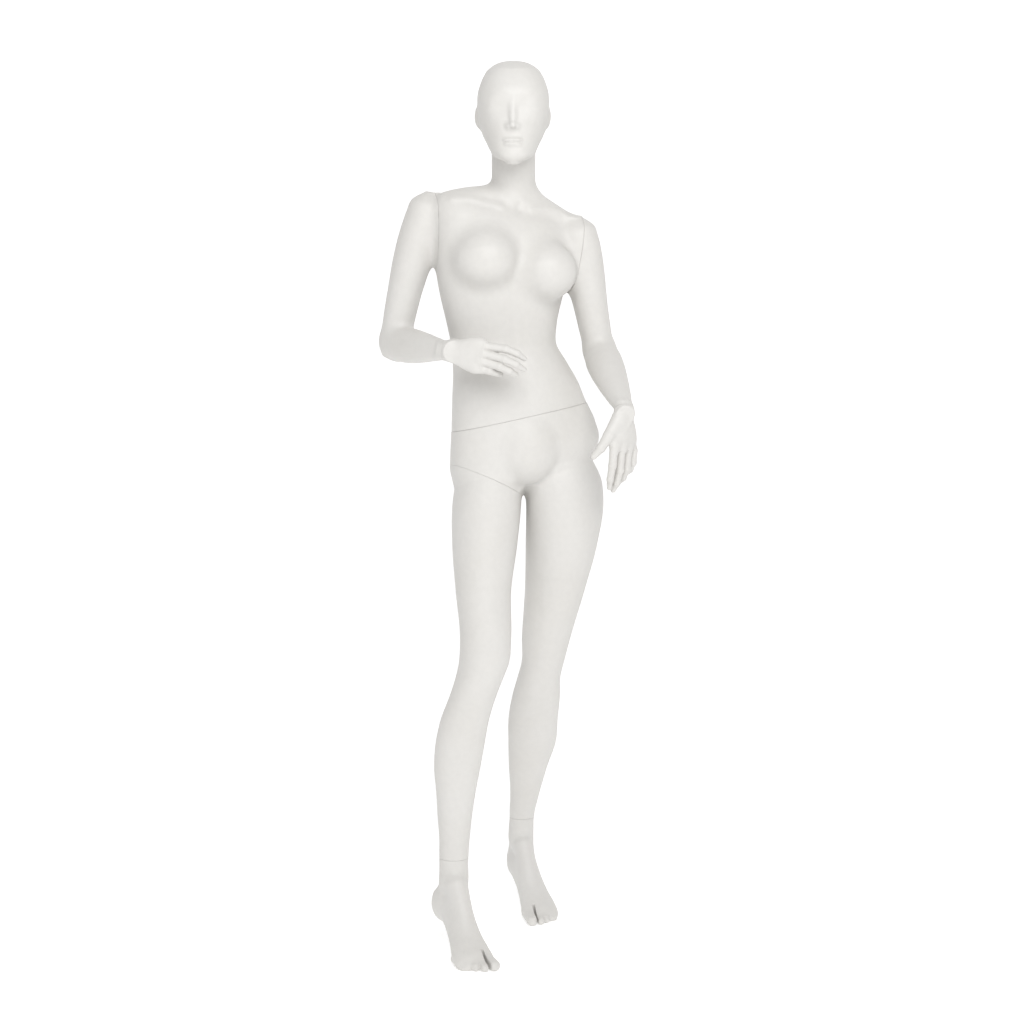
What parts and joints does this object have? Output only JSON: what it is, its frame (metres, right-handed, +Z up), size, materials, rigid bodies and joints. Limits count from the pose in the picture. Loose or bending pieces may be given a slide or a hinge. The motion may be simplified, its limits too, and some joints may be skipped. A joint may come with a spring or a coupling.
{
  "type": "full body mannequin",
  "caption": "Female full body display mannequin with a smooth hairless head, standing on its forefeet; torso, arms, hands, right leg and feet come apart at turned metal fittings.",
  "frame": {"origin": "on the floor, under the centre of the object's box", "axes": "+Z up, the mannequin faces -Y, +X is to the mannequin's left"},
  "size_m": [0.5164, 0.5536, 1.7971],
  "materials": {
    "moulded_shell": "matte, warm off-white, very fine moulded grain",
    "turned_steel": "turned, with fine rings round its axis"
  },
  "bodies": {
    "lower_body": {"lower_body_shell": "moulded_shell", "waist_bush": "turned_steel", "waist_lower_screw_1": "turned_steel", "waist_lower_screw_2": "turned_steel", "waist_lower_screw_3": "turned_steel", "groin_bush": "turned_steel", "groin_lower_screw_1": "turned_steel", "groin_lower_screw_2": "turned_steel", "left_ankle_bush": "turned_steel"},
    "upper_body": {"upper_body_shell": "moulded_shell", "waist_stud": "turned_steel", "waist_upper_screw_1": "turned_steel", "waist_upper_screw_2": "turned_steel", "waist_upper_screw_3": "turned_steel", "right_shoulder_bush": "turned_steel", "left_shoulder_bush": "turned_steel"},
    "right_arm": {"right_arm_shell": "moulded_shell", "right_shoulder_stud": "turned_steel", "right_wrist_bush": "turned_steel"},
    "left_arm": {"left_arm_shell": "moulded_shell", "left_shoulder_stud": "turned_steel", "left_wrist_bush": "turned_steel"},
    "right_hand": {"right_hand": "moulded_shell", "right_wrist_stud": "turned_steel"},
    "left_hand": {"left_hand": "moulded_shell", "left_wrist_stud": "turned_steel"},
    "right_leg": {"right_leg_shell": "moulded_shell", "groin_stud": "turned_steel", "groin_upper_screw_1": "turned_steel", "groin_upper_screw_2": "turned_steel", "right_ankle_bush": "turned_steel"},
    "right_foot": {"right_foot": "moulded_shell", "right_ankle_stud": "turned_steel"},
    "left_foot": {"left_foot": "moulded_shell", "left_ankle_stud": "turned_steel"}
  },
  "joints": [
    {"name": "waist_turn", "type": "hinge", "parent": "lower_body", "child": "upper_body", "pos_m": [0.02556, -0.07332, 1.09125], "axis": [-0.2071, 0, 0.9783], "range_deg": [-40, 0]},
    {"name": "right_arm_turn", "type": "hinge", "parent": "upper_body", "child": "right_arm", "pos_m": [-0.14444, -0.08332, 1.46625], "axis": [-0.979, -0.204, 0], "range_deg": [0, 90]},
    {"name": "left_arm_turn", "type": "hinge", "parent": "upper_body", "child": "left_arm", "pos_m": [0.14156, -0.06532, 1.44325], "axis": [-0.9495, -0.2718, 0.1569], "range_deg": [0, 90]},
    {"name": "right_hand_turn", "type": "hinge", "parent": "right_arm", "child": "right_hand", "pos_m": [-0.11694, -0.21932, 1.22775], "axis": [0.8641, -0.498, -0.073], "range_deg": [-25, 25]},
    {"name": "left_hand_turn", "type": "hinge", "parent": "left_arm", "child": "left_hand", "pos_m": [0.22956, -0.23532, 1.11625], "axis": [0.0899, -0.4494, -0.8888], "range_deg": [-25, 25]},
    {"name": "right_leg_lift_off", "type": "slide", "parent": "lower_body", "child": "right_leg", "axis": [-0.3858, -0.1709, -0.9066], "range_m": [0, 0.05]},
    {"name": "right_foot_pull_off", "type": "slide", "parent": "right_leg", "child": "right_foot", "axis": [0, 0, -1], "range_m": [0, 0.035]},
    {"name": "left_foot_pull_off", "type": "slide", "parent": "lower_body", "child": "left_foot", "axis": [0, 0, -1], "range_m": [0, 0.035]}
  ]
}
